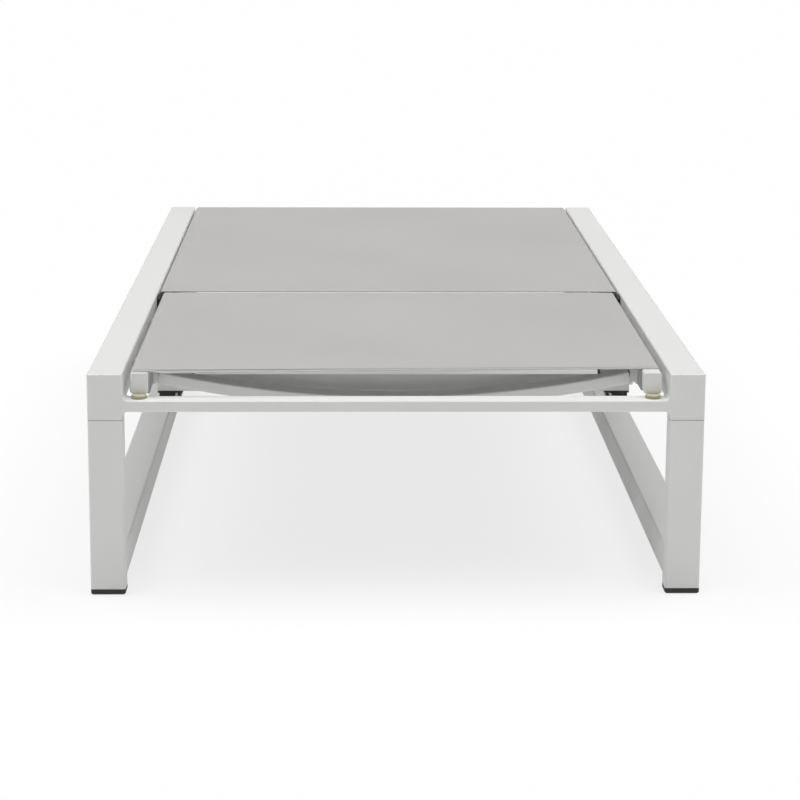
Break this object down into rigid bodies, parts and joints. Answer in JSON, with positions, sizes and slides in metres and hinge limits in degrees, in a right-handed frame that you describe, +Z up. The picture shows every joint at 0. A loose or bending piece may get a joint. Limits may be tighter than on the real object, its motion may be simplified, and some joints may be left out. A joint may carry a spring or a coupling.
{
  "type": "double chaise lounger",
  "caption": "Low wide patio lounger with sled sides, mesh slings and a back rest that lifts at a seam on a notched stay.",
  "frame": {"origin": "centre of the lounger's plan, at the height of the floor", "axes": "+X across to the right seen from the head end, +Y from the head end to the foot end, +Z up"},
  "size_m": [1.23, 2, 0.457],
  "materials": {
    "frame_white": "fine matt powder coat on aluminium",
    "casting_white": "fine matt powder coat on cast aluminium",
    "mesh": "light warm grey coated mesh in a plain weave",
    "black_nylon": "black moulded nylon, matt",
    "white_nylon": "white moulded nylon, satin",
    "olive_rubber": "olive grey rubber, matt",
    "steel": "stainless steel, plain turned finish"
  },
  "bodies": {
    "root": {"bumpers_head": "olive_rubber", "corner_foot_left": "casting_white", "corner_foot_right": "casting_white", "corner_head_left": "casting_white", "corner_head_right": "casting_white", "cross_rail_foot": "frame_white", "cross_rail_head": "frame_white", "floor_rail_left": "frame_white", "floor_rail_right": "frame_white", "glides": "black_nylon", "hinge_blocks": "black_nylon", "hinge_bolts": "steel", "hinge_rivet_nuts": "steel", "leg_foot_left": "frame_white", "leg_foot_right": "frame_white", "leg_head_left": "frame_white", "leg_head_right": "frame_white", "rack_brackets": "frame_white", "rack_left": "frame_white", "rack_right": "frame_white", "rack_screws": "steel", "seat_bolts": "steel", "seat_bow_foot": "frame_white", "seat_bow_head": "frame_white", "seat_bow_middle": "frame_white", "seat_hanger_plates": "frame_white", "seat_sling": "mesh", "seat_spacers": "black_nylon", "seat_tube_caps": "frame_white", "seat_tube_left": "frame_white", "seat_tube_right": "frame_white", "side_rail_left": "frame_white", "side_rail_right": "frame_white"},
    "backrest": {"back_bow_head": "frame_white", "back_bow_hinge": "frame_white", "back_hanger_plates": "frame_white", "back_sling": "mesh", "back_tube_caps": "frame_white", "back_tube_left": "frame_white", "back_tube_right": "frame_white", "batten_plugs": "black_nylon", "head_batten": "frame_white", "hinge_bushes": "black_nylon", "stay_pivot_nuts": "steel", "stay_pivot_pins": "steel", "stay_washers": "black_nylon"},
    "stay": {"catch_pins": "steel", "foot_screws": "steel", "stay_arm_left": "frame_white", "stay_arm_right": "frame_white", "stay_bar_caps": "white_nylon", "stay_bushes": "black_nylon", "stay_cross_bar": "frame_white", "stay_foot_left": "black_nylon", "stay_foot_right": "black_nylon"}
  },
  "joints": [
    {"name": "back_hinge", "type": "hinge", "parent": "root", "child": "backrest", "pos_m": [0, -0.217, 0.431], "axis": [-1, 0, 0], "range_deg": [0, 60]},
    {"name": "stay_pivot", "type": "hinge", "parent": "backrest", "child": "stay", "pos_m": [0, -0.477, 0.431], "axis": [-1, 0, 0], "range_deg": [-120, 0]}
  ],
  "couplings": [
    {"joint": "stay_pivot", "follows": "back_hinge", "ratio": -2}
  ]
}
